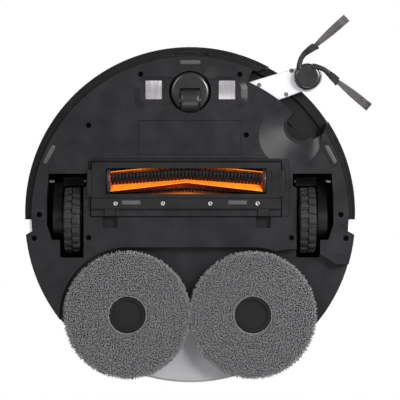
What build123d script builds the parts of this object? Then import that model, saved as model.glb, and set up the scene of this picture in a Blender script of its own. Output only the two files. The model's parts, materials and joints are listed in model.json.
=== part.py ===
"""Robot vacuum with two spinning mops and a side brush on a swing-out arm, as an assembly of separate parts.

Millimetres. +Z is up, +Y is the way the robot drives and +X is its right-hand side. The origin is the point
on the floor under the centre of the body. The robot stands on its wheels with the side-brush arm swung out.
"""

import os
from math import cos, radians, sin, sqrt

from build123d import *

# ---------------------------------------------------------------- driving dimensions
BODY_R = 175.0  # radius of the bumper and of the rear shell
STRETCH = 6.5  # distance between the centres of the front and rear half circles
SKIN = 2.5  # usual thickness of a moulded wall
PLATE_R = 168.0  # front edge of the bottom cover, about the origin
CORE_R = 159.0  # side wall behind the bumper, about the origin
CLEAR = 0.3  # gap between neighbouring covers

UNDERSIDE = 12.0  # bottom cover above the floor
DECK = UNDERSIDE + SKIN  # top of the bottom cover's plate
DECK_T = 2.0  # thickness of the mid frame's deck
SPLIT = 46.0  # where the mid frame's front wall meets the top cover
SKIRT_TOP = 30.0  # where the bottom cover's rear skirt meets the top cover
ROOF = 90.0  # top face of the top cover

FLANK_FRONT = -4.6  # rear end of the bumper
FLANK_IN = -16.7  # the body steps out again between these two
FLANK_OUT = -20.8

WHEEL_R = 35.0
WHEEL_X = 125.0
WHEEL_Y = -5.5
TYRE_W = 17.0
WHEEL_DROP = 25.0  # degrees of suspension travel

MOP_X = 66.2
MOP_Y = -105.5
MOP_R = 65.6
MOP_CEILING = 27.5
MOP_PIVOT = (-87.8, -53.0)
MOP_SWING = 45.0  # degrees that the left mop swings out
MOP_LIFT = 10.0

BRUSH_X = 3.9  # middle of the main brush
BRUSH_Y = 36.0
BRUSH_Z = 24.0
BRUSH_R = 21.0
BRUSH_L = 168.0
CHAMBER_R = 22.2

CASTER = (0.0, 130.5)
ARM_PIVOT = (-66.3, 127.3)
HUB = (-124.5, 146.7)
ARM_SWING = 51.0  # degrees that the side-brush arm swings in
NOTCH_R = 154.0
NOTCH_FROM, NOTCH_TO = 23.3, 58.5  # degrees from +Y towards -X

LIDAR = (0.0, -42.0)

os.makedirs("parts", exist_ok=True)


def write(part, name):
    """Label a finished piece and write its STEP file."""
    part.label = name
    export_step(part, f"parts/{name}.step")


def prism(outline, low, high, mode=Mode.ADD):
    """Extrude a flat outline between two heights, into the part being built."""
    return extrude(outline.moved(Location((0, 0, low))), amount=high - low, dir=(0, 0, 1), mode=mode)


def bore(centre, radius, low, high, mode=Mode.SUBTRACT):
    """A vertical round hole, or a post with mode=Mode.ADD."""
    with Locations((centre[0], centre[1], low)):
        Cylinder(radius, high - low, align=(Align.CENTER, Align.CENTER, Align.MIN), mode=mode)


def rod(start, length, radius, mode=Mode.ADD):
    """A round rod along X from its start point, or a hole with mode=Mode.SUBTRACT."""
    with Locations(Location((start[0] + length / 2, start[1], start[2]), (0, 90, 0))):
        Cylinder(radius, abs(length), mode=mode)


def block(low, high, mode=Mode.ADD):
    """A box between two opposite corners."""
    size = [b - a for a, b in zip(low, high)]
    middle = tuple((a + b) / 2 for a, b in zip(low, high))
    with Locations(middle):
        Box(*size, mode=mode)


def turned(point, pivot, degrees):
    """A point of the plan after turning about a pivot."""
    c, s = cos(radians(degrees)), sin(radians(degrees))
    dx, dy = point[0] - pivot[0], point[1] - pivot[1]
    return (pivot[0] + c * dx - s * dy, pivot[1] + s * dx + c * dy)


def on_ring(radius, degrees):
    """A point of the plan at an angle from +Y towards -X."""
    return (-radius * sin(radians(degrees)), radius * cos(radians(degrees)))


def outline_of(points, rounding=0.0):
    """A flat polygon through the points, with its corners rounded."""
    with BuildSketch() as face:
        with BuildLine():
            Polyline(*points, close=True)
        make_face()
        if rounding:
            fillet(face.vertices(), rounding)
    return face.sketch


def rectangle(x_low, x_high, y_low, y_high, rounding=0.0):
    """A flat rectangle between two corners."""
    corners = [(x_low, y_low), (x_high, y_low), (x_high, y_high), (x_low, y_high)]
    return outline_of(corners, rounding)


def sector(inner, outer, start, stop):
    """A flat piece of a ring about the origin, between two angles from +Y towards -X."""
    with BuildSketch() as face:
        with BuildLine():
            ThreePointArc(on_ring(outer, start), on_ring(outer, (start + stop) / 2), on_ring(outer, stop))
            Line(on_ring(outer, stop), on_ring(inner, stop))
            ThreePointArc(on_ring(inner, stop), on_ring(inner, (start + stop) / 2), on_ring(inner, start))
            Line(on_ring(inner, start), on_ring(outer, start))
        make_face()
    return face.sketch


def grown(outline, amount):
    """An outline offset outwards, or inwards where the amount is negative."""
    return offset(outline, amount, mode=Mode.PRIVATE)


# ---------------------------------------------------------------- outlines of the plan
def shell_outline(radius):
    """The body seen from above: two half circles, a little apart."""
    with BuildSketch() as face:
        SlotCenterToCenter(STRETCH, 2 * radius, rotation=90)
    return face.sketch


FAR = 2 * BODY_R
step_in = PLATE_R + 0.8
step_out = sqrt(BODY_R**2 - (-FLANK_OUT - STRETCH / 2) ** 2)
rear_half = outline_of(
    [(-FAR, -FAR), (FAR, -FAR), (FAR, FLANK_OUT), (step_out, FLANK_OUT), (step_in - 2, FLANK_IN),
     (2 - step_in, FLANK_IN), (-step_out, FLANK_OUT), (-FAR, FLANK_OUT)]
)
front_half = rectangle(-FAR, FAR, FLANK_OUT, FAR)


def body_plan(front_radius, rear_radius):
    """The rear half circle joined to a front circle about the origin."""
    with BuildSketch() as face:
        add(shell_outline(rear_radius))
        add(rear_half, mode=Mode.INTERSECT)
        Circle(front_radius)
    return face.sketch


plate_plan = body_plan(PLATE_R, BODY_R)
core_plan = body_plan(CORE_R, BODY_R)
with BuildSketch() as rear_shell:
    add(shell_outline(BODY_R))
    add(rear_half, mode=Mode.INTERSECT)
rear_plan = rear_shell.sketch
with BuildSketch() as core_room:
    add(grown(rear_plan, -SKIN))
    Circle(CORE_R - SKIN)
    add(rectangle(15 - BODY_R, BODY_R - 15, FLANK_OUT - 8, FLANK_IN))
core_inside = core_room.sketch
with BuildSketch() as front_disc:
    Circle(PLATE_R)
    add(rectangle(-FAR, FAR, FLANK_IN, FAR), mode=Mode.INTERSECT)

# wheel wells, the right one (+X); the left one is its mirror image
WELL_IN = 112.8
well_right = outline_of(
    [(108.6, 44.0), (108.6, 31.0), (WELL_IN, 29.0), (WELL_IN, -45.1), (137.7, -45.1), (137.7, -26.2),
     (146.5, -26.2), (151.8, -10.0), (151.8, 20.0), (149.9, 44.0)],
    1.5,
)
well_left = well_right.mirror(Plane.YZ)

# the floating brush housing, its cover and its mouth
HOUSING = (-104.7, 107.3, -1.7, 59.5)
COVER = (-96.0, 104.5, 5.9, 56.4)
MOUTH = (BRUSH_X - BRUSH_L / 2 - 0.8, BRUSH_X + BRUSH_L / 2 + 0.8, 22.4, 49.6)
housing_plan = rectangle(*HOUSING, 4.0)

# the mops' recess: room for both at rest, open at the back, and for the left one swung out
RECESS_R = 71.5
mop_out = turned((-MOP_X, MOP_Y), MOP_PIVOT, -MOP_SWING)
with BuildSketch() as recess:
    with Locations((MOP_X, MOP_Y), (-MOP_X, MOP_Y)):
        Circle(RECESS_R)
    make_hull()
    add(rectangle(-MOP_X - RECESS_R, MOP_X + RECESS_R, -FAR, MOP_Y))
with BuildSketch() as swing_recess:
    for turn in (0.25, 0.5, 0.75, 1.0):
        with Locations(turned((-MOP_X, MOP_Y), MOP_PIVOT, -MOP_SWING * turn)):
            Circle(RECESS_R - 2)
    with Locations((-MOP_X, MOP_Y)):
        Circle(RECESS_R - 2)
    add(rectangle(-FAR, -MOP_X, -FAR, MOP_Y))
    add(rectangle(-FAR, -WHEEL_X - 5, -FAR, -52.0), mode=Mode.ADD)
with BuildSketch() as mop_recess:
    add(recess.sketch)
    add(swing_recess.sketch)

# the side-brush arm's notch, the dished pocket for its hub, and the room the arm swings in
DISH = (-106.2, 84.2)
DISH_R = 33.4
HUB_ROOM = 15.6
hub_in = turned(HUB, ARM_PIVOT, ARM_SWING)
notch = sector(NOTCH_R, FAR, NOTCH_FROM, NOTCH_TO)
with BuildSketch() as arm_room:
    with Locations(ARM_PIVOT):
        Circle(17.0)
    for turn in (0, 0.25, 0.5, 0.75, 1.0):
        with Locations(turned(HUB, ARM_PIVOT, ARM_SWING * turn)):
            Circle(18.6)
    make_hull()

# screws that hold the bottom cover to the mid frame
right_screws = [(52.4, 149.1), (107.5, 95.1), (159.6, 0.6), (165.0, -24.5), (107.4, -24.0)]
left_screws = [(-52.7, 149.1), (-59.4, 84.8), (-159.6, 0.6), (-165.0, -24.5), (-107.4, -24.0)]
screws = right_screws + left_screws
battery_plan = rectangle(-53.8, 54.7, 64.6, 100.0, 1.0)
latch_notches = [(84.8, -7.7), (-77.6, -7.7)]

# cliff sensor windows: centre, length, width, turn
windows = [((0, 162.0), 28.4, 8.0, 0.0), ((146.9, 64.8), 29.9, 7.6, -62.0), ((-146.9, 64.8), 29.9, 7.6, 62.0)]


def window_plan(window, gap=0.0):
    """The outline of one cliff sensor window."""
    (x, y), length, width, turn = window
    with BuildSketch() as face:
        with Locations(Location((x, y, 0), (0, 0, turn))):
            RectangleRounded(length + 2 * gap, width + 2 * gap, 1.6)
    return face.sketch


CONTACTS = [(38.4, 132.4), (-39.0, 132.4)]
CARPET_SENSOR = (-22.1, 151.0)
CASTER_R = 22.3
BOSS_DROP = 4.0  # the charging boss stands this far below the bottom cover

# ---------------------------------------------------------------- shared fits, heights and outlines
FIT = 0.05  # radial play of a turning or sliding fit
SLEEVE_R = 17.5
LIFT_R = 14.0
MOP_PIN_R = 5.0
HUB_HOLE_R = 18.8
ARM_LOW = 18.6
ARM_TOP = 29.6
BAY_TOP = 32.2  # ceiling over the side-brush arm
ARM_PIN_R = 4.0
SIDE_HUB_Z = 8.5
BOSS_Z = UNDERSIDE - BOSS_DROP
WELL_TOP = 73.0
PIVOT_Y = 36.5
PIVOT_Z = 50.0
PIN_R = 3.0
STEM_R = 5.0
BOARD_Z = 50.0
LID_Y = 10.0
HINGE_X = 150.0
HINGE_Z = 87.6
BUTTON_X = 13.0
BUTTON_Y = 146.0
BUTTON_R = 8.5
FAN = (66.0, -30.0)
FAN_R = 24.0
BIN_Y = 50.0
BIN_END = 128.0
LIDAR_R = 46.0
WINDOW_ANGLE = 50.0
LIP_IN = 165.0
CHAMBER_X = (MOUTH[0] - 0.6, MOUTH[1] + 0.6)
SHAFT_R = 5.0
COVER_LOW = 6.3
COVER_SCREWS = [(78.9, 12.2), (28.6, 12.2), (-21.1, 12.2), (-71.3, 12.2)]
GRIP_PADS = [(62.4, 13.4), (-50.2, 13.4)]
CORE_TUBE_R = 12.0
ROW_PAIRS = 6
ROW_GAP = 20.0  # degrees that a row of bristles trails its fin
STEPS = 6
ROW_STEP = (BRUSH_L / 2 - 3.2) / STEPS
ROW_PHASE = 176.0  # degrees about +X, from straight up, of the first fin's middle
CHEVRON = -28.0  # degrees that a row twists from the middle to its end
MOTOR_R = 17.0
RIM_R = 27.0
CASTER_AXLE_Y = 121.7
CASTER_WHEEL_R = 11.8
ARM_SCREWS = [(-107.5, 153.4), (-101.8, 128.1), (-73.2, 138.0)]
TIP_HALF = 4.6  # half the width of a bundle of side bristles at its tip
LEGS = [((-132.3, 179.0), (-165.0, 208.6)), ((-153.5, 139.8), (-189.5, 114.4))]


def disc(centre, radius, height):
    """A flat round face at a height, for lofting."""
    with BuildSketch(Plane.XY.offset(height)) as face:
        with Locations(centre):
            Circle(radius)
    return face.sketch


def bar_plan(start, end, start_radius, end_radius):
    """A tapering bar with round ends, seen from above."""
    with BuildSketch() as face:
        with Locations(start):
            Circle(start_radius)
        with Locations(end):
            Circle(end_radius)
        make_hull()
    return face.sketch


def trimmed(outline, limit):
    """The part of an outline that lies inside another one."""
    with BuildSketch() as face:
        add(outline)
        add(limit, mode=Mode.INTERSECT)
    return face.sketch


def toward(start, end, distance):
    """The point a distance away from a start, on the way to an end."""
    length = sqrt((end[0] - start[0]) ** 2 + (end[1] - start[1]) ** 2)
    return tuple(a + (b - a) * distance / length for a, b in zip(start, end))


def ordered(a, b):
    """The low and the high corner of the box between two points."""
    return tuple(map(min, a, b)), tuple(map(max, a, b))


def prism_x(profile, low, high):
    """Extrude a profile drawn in the YZ plane between two places along X."""
    extrude(profile.moved(Location((low, 0, 0))), amount=high - low, dir=(1, 0, 0))


def crescent(outer, inner, half_angle=0.0):
    """The front arc of the bumper seen from above, between two radii."""
    with BuildSketch() as face:
        with Locations((0, STRETCH / 2)):
            Circle(outer)
            Circle(inner, mode=Mode.SUBTRACT)
        if half_angle:
            edge = FAR * sin(radians(half_angle)), FAR * cos(radians(half_angle))
            add(outline_of([(0, 0), edge, (0, 2 * FAR), (-edge[0], edge[1])]), mode=Mode.INTERSECT)
        else:
            add(rectangle(-FAR, FAR, FLANK_FRONT, FAR), mode=Mode.INTERSECT)
    return face.sketch


with BuildSketch() as recess_wall:
    add(grown(mop_recess.sketch, SKIN))
    add(grown(plate_plan, -0.01), mode=Mode.INTERSECT)
rear_gate = rectangle(-137.7, 137.7, -FAR, -121.0)
with BuildSketch() as swing_slot:
    for turn in (0.0, 0.25, 0.5, 0.75, 1.0):
        with Locations(turned((-MOP_X, MOP_Y), MOP_PIVOT, -MOP_SWING * turn)):
            Circle(LIFT_R + 0.8)
    make_hull()
rear_plan_panel = trimmed(grown(rear_gate, -CLEAR), shell_outline(BODY_R))
boss_plan = rectangle(-60.8, 59.4, 109.7, 146.7, 14.0)
boss_face = rectangle(-54.0, 52.6, 116.5, 142.5, 9.0)
front_core = trimmed(core_plan, rectangle(-FAR, FAR, FLANK_IN, FAR))
front_core_inside = trimmed(core_inside, rectangle(-FAR, FAR, FLANK_IN - 1, FAR))
well_limit = trimmed(grown(core_inside, -0.1), rectangle(-FAR, FAR, -60.0, FAR))
with BuildSketch() as deck_shape:
    add(grown(core_inside, -0.2))
    add(front_core)
deck_plan = deck_shape.sketch
bay_plan = trimmed(grown(arm_room.sketch, 2.0), front_core)
with BuildSketch() as lid_outline:
    Circle(162.0)
    add(rectangle(-FAR, FAR, LID_Y, 125.0), mode=Mode.INTERSECT)
lid_plan = lid_outline.sketch
with BuildSketch() as lid_corners:
    # beyond its hinge the lid stops short, so that its corners swing up clear of the top cover
    add(rectangle(HINGE_X, FAR, LID_Y - 1, LID_Y + 3.0))
    add(rectangle(-FAR, -HINGE_X, LID_Y - 1, LID_Y + 3.0))
with BuildSketch() as arm_shape:
    add(bar_plan(ARM_PIVOT, HUB, 14.5, 12.5))
arm_plan = arm_shape.sketch
with BuildSketch(Plane.YZ) as arm_side:
    with Locations((WHEEL_Y, WHEEL_R)):
        Circle(19.5)
    with Locations((PIVOT_Y, PIVOT_Z)):
        Circle(6.5)
    make_hull()
arm_profile = arm_side.sketch
with BuildSketch(Plane.YZ) as cover_side:
    with BuildLine():
        Polyline((5.9, UNDERSIDE - 0.2), (5.9, 9.4), (7.3, 8.4), (17.6, 7.2), (18.4, COVER_LOW), (55.2, COVER_LOW),
                 (56.4, 7.4), (56.4, UNDERSIDE - 0.2), close=True)
    make_face()
cover_profile = cover_side.sketch

# ---------------------------------------------------------------- bottom cover
with BuildPart() as bottom_cover:
    # rear skirt with a bevelled foot, then hollowed
    prism(rear_plan, UNDERSIDE, SKIRT_TOP)
    foot = bottom_cover.edges().filter_by_position(Axis.Z, UNDERSIDE, UNDERSIDE)
    chamfer(foot.filter_by(GeomType.CIRCLE), 3.0)
    prism(grown(rear_plan, -SKIN), DECK + 5.0, SKIRT_TOP, Mode.SUBTRACT)
    prism(grown(rear_plan, -SKIN - 6.0), DECK, DECK + 5.0, Mode.SUBTRACT)
    prism(rectangle(15 - BODY_R, BODY_R - 15, FLANK_OUT - 12, FLANK_IN + 1), DECK, SKIRT_TOP, Mode.SUBTRACT)
    prism(front_disc.sketch, UNDERSIDE, DECK)
    # walls and ceiling of the mops' recess
    prism(recess_wall.sketch, UNDERSIDE + 1, MOP_CEILING)
    prism(mop_recess.sketch, 0, MOP_CEILING - SKIN, Mode.SUBTRACT)
    prism(rear_gate, 0, SKIRT_TOP, Mode.SUBTRACT)
    bore((MOP_X, MOP_Y), SLEEVE_R, MOP_CEILING - SKIN, MOP_CEILING + 9.0, Mode.ADD)
    bore((MOP_X, MOP_Y), LIFT_R + FIT, 0, SPLIT)
    prism(swing_slot.sketch, 0, SPLIT, Mode.SUBTRACT)
    # charging boss round the caster
    loft(sections=[boss_plan.moved(Location((0, 0, UNDERSIDE))), boss_face.moved(Location((0, 0, BOSS_Z)))])
    # the dished pocket that leads to the bay of the retracted hub
    loft(sections=[disc(DISH, DISH_R + 1.4, UNDERSIDE), disc(hub_in, 20.4, ARM_LOW - 0.5)])
    loft(sections=[disc(DISH, DISH_R, UNDERSIDE - 0.01), disc(hub_in, 19.0, ARM_LOW - 1.9)], mode=Mode.SUBTRACT)
    bore(hub_in, HUB_ROOM, 0, ARM_LOW)
    for turn in (0.8, 0.85, 0.9, 0.95):
        bore(turned(HUB, ARM_PIVOT, ARM_SWING * turn), HUB_ROOM, UNDERSIDE + 4.0, ARM_LOW)
    prism(arm_room.sketch, ARM_LOW - 0.5, SPLIT, Mode.SUBTRACT)
    # openings
    prism(notch, 0, SPLIT, Mode.SUBTRACT)
    prism(grown(housing_plan, 0.4), 0, SPLIT, Mode.SUBTRACT)
    for well in (well_right, well_left):
        prism(well, 0, SPLIT, Mode.SUBTRACT)
    bore(CASTER, CASTER_R, 0, SPLIT)
    bore(CARPET_SENSOR, 6.9, 0, SPLIT)
    prism(grown(battery_plan, CLEAR), 0, SPLIT, Mode.SUBTRACT)
    for window in windows:
        prism(window_plan(window, 0.1), 0, SPLIT, Mode.SUBTRACT)
    for x, y in CONTACTS:
        prism(rectangle(x - 11.5, x + 11.5, y - 13, y + 13, 2.0), 0, BOSS_Z + 0.4, Mode.SUBTRACT)
        prism(rectangle(x - 8.7, x + 8.7, y - 9.9, y + 9.9, 0.8), 0, SPLIT, Mode.SUBTRACT)
    # finger notches behind the brush cover's latches
    for x, y in latch_notches:
        prism(rectangle(x - 10.0, x + 10.0, y - 8.0, y + 5.6), DECK - 0.5, DECK + 7.0)
        prism(rectangle(x - 7.9, x + 7.9, y - 5.8, y + 6.0), 0, DECK + 5.0, Mode.SUBTRACT)
    # screw bosses
    for spot in screws:
        bore(spot, 4.3, DECK - 0.5, DECK + 4.5, Mode.ADD)
        bore(spot, 2.9, 0, DECK + 2.5)
        bore(spot, 1.7, 0, DECK + 5.0)
    # seams beside the wheel wells
    for side in (1, -1):
        with Locations(Location((side * 160.5, -10.2, UNDERSIDE), (0, 0, side * -43.0))):
            Box(19.0, 0.6, 1.0, mode=Mode.SUBTRACT)
write(bottom_cover.part, "bottom_cover")

# ---------------------------------------------------------------- small fixed parts under the body
with BuildPart() as cliff_windows:
    for window in windows:
        prism(window_plan(window), UNDERSIDE + 0.3, DECK + 1.0)
write(cliff_windows.part, "cliff_windows")

with BuildPart() as carpet_sensor:
    bore(CARPET_SENSOR, 6.75, UNDERSIDE + 0.2, DECK + 5.0, Mode.ADD)
    bore(CARPET_SENSOR, 4.6, 0, UNDERSIDE + 0.8)
write(carpet_sensor.part, "carpet_sensor")

with BuildPart() as charging_contacts:
    for x, y in CONTACTS:
        prism(rectangle(x - 8.6, x + 8.6, y - 9.8, y + 9.8, 0.8), BOSS_Z + 0.1, BOSS_Z + 2.1)
        block((x - 3, y - 3, BOSS_Z + 1), (x + 3, y + 3, DECK + 3))
write(charging_contacts.part, "charging_contacts")

with BuildPart() as housing_screws:
    for spot in screws:
        bore(spot, 2.8, DECK + 0.6, DECK + 2.5, Mode.ADD)
        bore(spot, 1.6, DECK + 2.0, DECK + 4.4, Mode.ADD)
write(housing_screws.part, "housing_screws")

with BuildPart() as suspension_pins:
    for side in (1, -1):
        rod((side * 112.0, PIVOT_Y, PIVOT_Z), side * 39.4, PIN_R)
write(suspension_pins.part, "suspension_pins")

# ---------------------------------------------------------------- boxes over the wheels and the arm, and the mid frame
with BuildPart() as wheel_boxes:
    for well in (well_right, well_left):
        prism(trimmed(grown(well, 2.0), well_limit), DECK, WELL_TOP + 2.0)
        prism(well, 0, WELL_TOP, Mode.SUBTRACT)
    for side in (1, -1):
        rod((side * 130, PIVOT_Y, PIVOT_Z), side * 30, PIN_R, Mode.SUBTRACT)
    # clear of the mops' recess
    prism(mop_recess.sketch, 0, MOP_CEILING, Mode.SUBTRACT)
    add(bottom_cover.part, mode=Mode.SUBTRACT)
write(wheel_boxes.part, "wheel_boxes")

with BuildPart() as arm_bay:
    prism(bay_plan, DECK, BAY_TOP + 2.0)
    prism(arm_room.sketch, DECK - 1, BAY_TOP, Mode.SUBTRACT)
    prism(trimmed(notch, front_core), 0, BAY_TOP, Mode.SUBTRACT)
    bore(ARM_PIVOT, ARM_PIN_R, ARM_LOW + 2.5, BAY_TOP + 1.0, Mode.ADD)
    prism(sector(CORE_R - 1.0, 168.0, 21.0, 61.0), 36.5, 38.5)
    prism(sector(CORE_R - 1.0, CORE_R + 1.0, 21.0, 61.0), BAY_TOP, 38.5)
    for start in (34.0, 40.0, 46.0):
        prism(sector(144.0, 157.0, start, start + 3.5), BAY_TOP - 2.2, BAY_TOP + 0.5)
    # the bottom cover's dish stands here instead
    bore(DISH, DISH_R + 1.5, 0, ARM_LOW - 0.5)
    for part in (bottom_cover, cliff_windows, housing_screws):
        add(part.part, mode=Mode.SUBTRACT)
write(arm_bay.part, "arm_bay")

with BuildPart() as mid_frame:
    # wall behind the bumper, and the deck that carries everything
    prism(front_core, DECK, SPLIT)
    prism(front_core_inside, DECK, SPLIT, Mode.SUBTRACT)
    prism(deck_plan, SPLIT - DECK_T, SPLIT)
    for well in (well_right, well_left):
        prism(grown(well, 2.0), 0, SPLIT, Mode.SUBTRACT)
    prism(bay_plan, 0, BAY_TOP + 2.0, Mode.SUBTRACT)
    prism(sector(CORE_R - 1.0, FAR, 21.0, 61.0), 0, 38.5, Mode.SUBTRACT)
    # socket of the caster
    bore(CASTER, CASTER_R + 2.5, DECK, SPLIT - 1, Mode.ADD)
    bore(CASTER, CASTER_R, 0, 34.0)
    bore(CASTER, STEM_R + FIT, 0, SPLIT + 1)
    # room for the brush chamber and its drive, the pin of the mop that swings and posts under the board
    prism(rectangle(-97.0, 104.8, 10.5, 62.5), 0, SPLIT, Mode.SUBTRACT)
    bore(MOP_PIVOT, MOP_PIN_R, MOP_CEILING, SPLIT - 1, Mode.ADD)
    for x in (-96.0, -54.0):
        for y in (-66.0, -4.0):
            bore((x, y), 2.5, SPLIT - 1, BOARD_Z, Mode.ADD)
    # room for the screws' bosses and the cliff sensors
    for spot in screws:
        bore(spot, 4.4, 0, DECK + 4.6)
    for window in windows:
        prism(window_plan(window, 2.0), 0, DECK + 2.0, Mode.SUBTRACT)
    # the wall ends between the left window and the side-brush arm's bay
    bore((-135.0, 80.3), 3.2, 0, DECK + 2.0)
    for part in (bottom_cover, cliff_windows, carpet_sensor, housing_screws):
        add(part.part, mode=Mode.SUBTRACT)
write(mid_frame.part, "mid_frame")

# ---------------------------------------------------------------- top cover and lid
with BuildPart() as top_cover:
    prism(shell_outline(BODY_R), 82.0, ROOF)
    fillet(top_cover.edges().group_by(Axis.Z)[-1], 6.0)
    prism(core_plan, SPLIT, 83.0)
    prism(rear_plan, SKIRT_TOP, SPLIT)
    prism(grown(core_inside, -0.01), SKIRT_TOP - 1, ROOF - SKIN, Mode.SUBTRACT)
    prism(trimmed(grown(lid_plan, 5.0), core_plan), 84.5, ROOF - SKIN)
    prism(grown(lid_plan, -4.0), 80.0, ROOF, Mode.SUBTRACT)
    prism(grown(lid_plan, CLEAR), ROOF - SKIN - 0.1, ROOF, Mode.SUBTRACT)
    block((-HINGE_X - 0.3, LID_Y - 2.7, 84.9), (HINGE_X + 0.3, LID_Y + 4, ROOF), Mode.SUBTRACT)
    rod((-HINGE_X - 3.0, LID_Y, HINGE_Z), 2 * HINGE_X + 6.0, 1.5 + FIT, Mode.SUBTRACT)
    bore(LIDAR, 40.4, 80.0, ROOF)
    for part in (mid_frame, arm_bay):
        add(part.part, mode=Mode.SUBTRACT)
    for side in (1, -1):
        bore((side * BUTTON_X, BUTTON_Y), BUTTON_R + CLEAR, 80.0, ROOF)
write(top_cover.part, "top_cover")

with BuildPart() as lid:
    prism(lid_plan, ROOF - SKIN + 0.1, ROOF)
    prism(lid_corners.sketch, 0, ROOF, Mode.SUBTRACT)
    rod((-HINGE_X, LID_Y, HINGE_Z), 2 * HINGE_X, ROOF - HINGE_Z)
    rod((-HINGE_X - 2.5, LID_Y, HINGE_Z), 2 * HINGE_X + 5.0, 1.5)
    block((-14.0, 113.0, ROOF - 0.8), (14.0, 121.5, ROOF + 1), Mode.SUBTRACT)
write(lid.part, "lid")

for name, side in (("power_button", 1), ("home_button", -1)):
    with BuildPart() as button:
        bore((side * BUTTON_X, BUTTON_Y), BUTTON_R, 83.0, ROOF + 0.6, Mode.ADD)
        fillet(button.edges().group_by(Axis.Z)[-1], 0.8)
        bore((side * BUTTON_X, BUTTON_Y), BUTTON_R + 1.2, 82.0, 84.0, Mode.ADD)
    write(button.part, name)

# ---------------------------------------------------------------- rear panel between the mops
with BuildPart() as rear_panel:
    prism(rear_plan_panel, MOP_CEILING - 1.0, SKIRT_TOP)
    arc = rear_panel.edges().group_by(Axis.Z)[0].filter_by(GeomType.CIRCLE)
    chamfer(arc.sort_by(SortBy.LENGTH)[-1:], 2.5)
    prism(rectangle(-FAR, FAR, -160.0, -100.0), MOP_CEILING + 1.2, SKIRT_TOP, Mode.SUBTRACT)
    for x in (MOP_X, -MOP_X):
        bore((x, MOP_Y), SLEEVE_R + CLEAR, 0, SKIRT_TOP)
    prism(swing_slot.sketch, 0, SKIRT_TOP, Mode.SUBTRACT)
    block((-BODY_R, -137.6, 0), (BODY_R, -137.0, MOP_CEILING - 0.4), Mode.SUBTRACT)
    prism(rectangle(-18.0, 18.0, -174.0, -165.0, 2.0), 0, MOP_CEILING - 0.3, Mode.SUBTRACT)
write(rear_panel.part, "rear_panel")

# ---------------------------------------------------------------- battery, board, fan and dust bin
with BuildPart() as battery_pack:
    block((-51.0, 67.0, DECK + 0.5), (52.0, 98.0, 38.0))
    fillet(battery_pack.edges().filter_by(Axis.Z), 3.0)
write(battery_pack.part, "battery_pack")

with BuildPart() as battery_cover:
    prism(battery_plan, UNDERSIDE, DECK)
write(battery_cover.part, "battery_cover")

with BuildPart() as main_board:
    block((-100.0, -70.0, BOARD_Z), (-50.0, 0.0, BOARD_Z + 1.6))
    for x, y, size, height in ((-82, -44, 16, 1.5), (-64, -20, 12, 1.2), (-84, -14, 10, 6.0), (-60, -54, 8, 8.0)):
        block((x - size / 2, y - size / 2, BOARD_Z + 1), (x + size / 2, y + size / 2, BOARD_Z + 1.6 + height))
write(main_board.part, "main_board")

with BuildPart() as fan_housing:
    bore(FAN, FAN_R + 6.0, SPLIT, 76.0, Mode.ADD)
    block((FAN[0] - 12, FAN[1] + 10, 54.0), (FAN[0] + 12, BIN_Y, 72.0))
    bore(FAN, FAN_R + 2.0, SPLIT + 2, 74.0)
    block((FAN[0] - 10, FAN[1] + 10, 56.0), (FAN[0] + 10, BIN_Y, 70.0), Mode.SUBTRACT)
    block((FAN[0] + 10, FAN[1] - 9, 56.0), (FAN[0] + 40, FAN[1] + 9, 70.0), Mode.SUBTRACT)
    bore(FAN, 3.0 + FIT, 0, 60.0)
write(fan_housing.part, "fan_housing")

with BuildPart() as fan_impeller:
    bore(FAN, FAN_R, 50.0, 52.0, Mode.ADD)
    bore(FAN, 9.0, 50.0, 68.0, Mode.ADD)
    bore(FAN, 3.0, SPLIT + 0.3, 52.0, Mode.ADD)
    for turn in range(9):
        with Locations(Location((FAN[0], FAN[1], 50.0), (0, 0, 40 * turn))):
            with Locations(Location((16.5, 4.0, 8.0), (0, 0, 28.0))):
                Box(18.0, 1.4, 16.0)
write(fan_impeller.part, "fan_impeller")

with BuildPart() as dust_bin:
    block((-72.0, BIN_Y, SPLIT), (72.0, BIN_END, 80.0))
    fillet(dust_bin.edges().filter_by(Axis.Z), 5.0)
    block((-70.0, BIN_Y + 2, SPLIT + 2), (70.0, BIN_END - 2, 78.0), Mode.SUBTRACT)
    block((-20.0, BIN_Y + 2, 0), (28.0, 59.0, SPLIT + 3), Mode.SUBTRACT)
    block((FAN[0] - 10, BIN_Y - 1, 56.0), (FAN[0] + 10, BIN_Y + 3, 70.0), Mode.SUBTRACT)
    block((-40.0, 96.0, 79.0), (40.0, 118.0, 82.0), Mode.SUBTRACT)
    block((-30.0, 105.0, 78.5), (30.0, 109.0, 80.0))
write(dust_bin.part, "dust_bin")

# ---------------------------------------------------------------- laser turret
with BuildPart() as lidar_base:
    bore(LIDAR, 40.0, 77.0, ROOF + 1, Mode.ADD)
    bore(LIDAR, LIDAR_R, ROOF, ROOF + 3.0, Mode.ADD)
    bore(LIDAR, 37.0, 79.0, ROOF + 4)
    bore(LIDAR, 8.0, 77.0, ROOF - 2.0, Mode.ADD)
    bore(LIDAR, 4.0 + FIT, 79.0, ROOF + 5)
write(lidar_base.part, "lidar_base")

with BuildPart() as lidar_rotor:
    bore(LIDAR, 35.0, ROOF - 1.0, ROOF + 9.0, Mode.ADD)
    bore(LIDAR, 4.0, 79.4, ROOF, Mode.ADD)
    for x in (-12.0, 12.0):
        with Locations((LIDAR[0] + x, LIDAR[1] + 33.0, ROOF + 6.0)):
            Cylinder(2.6, 8.0, rotation=(90, 0, 0), mode=Mode.SUBTRACT)
write(lidar_rotor.part, "lidar_rotor")

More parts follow.
